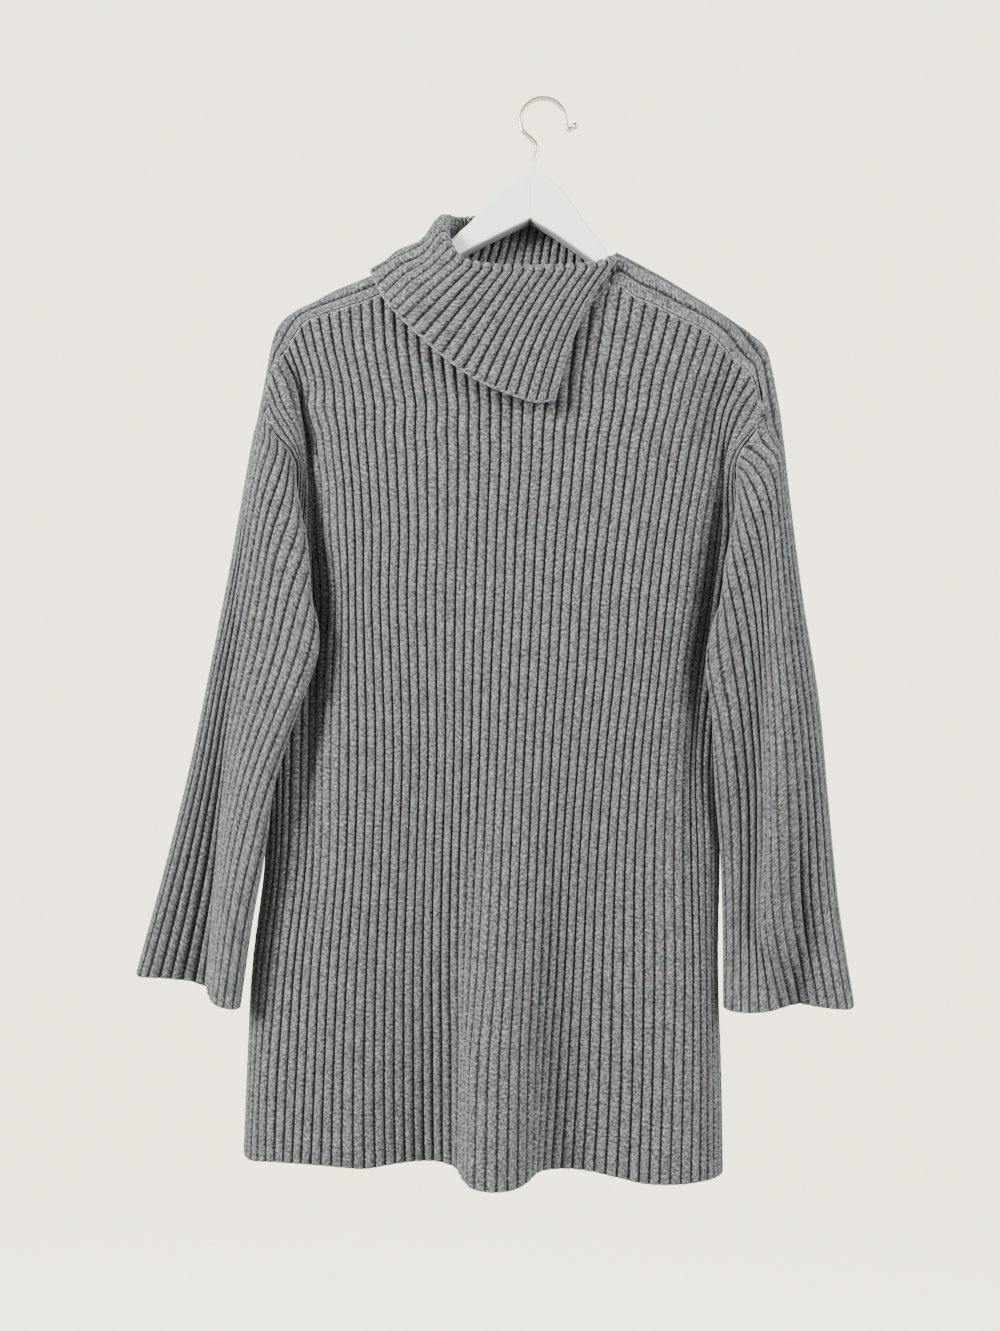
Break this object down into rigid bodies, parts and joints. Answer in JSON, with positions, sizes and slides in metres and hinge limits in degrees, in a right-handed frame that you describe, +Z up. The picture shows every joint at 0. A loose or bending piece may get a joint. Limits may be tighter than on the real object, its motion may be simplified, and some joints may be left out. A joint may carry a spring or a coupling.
{
  "type": "turtleneck tunic sweater on a clothes hanger",
  "caption": "Ribbed turtleneck tunic with saddle shoulders, long sleeves and a wide collar folded down over a side slit, hanging on a wooden clothes hanger.",
  "frame": {"origin": "top of the inside of the hook, where the hanger hangs on its nail or rail", "axes": "+Z up, the front of the sweater faces -Y, +X is the wearer's left"},
  "size_m": [0.6611, 0.1019, 0.997],
  "materials": {
    "knit": "thick heather grey rib knit, matt and slightly fuzzy",
    "painted_wood": "white satin paint on wood",
    "hook_steel": "polished plated wire"
  },
  "bodies": {
    "root": {"front": "knit", "back": "knit", "sleeve_left": "knit", "sleeve_right": "knit", "collar": "knit", "hanger_wood": "painted_wood", "hanger_hook": "hook_steel"}
  },
  "joints": []
}
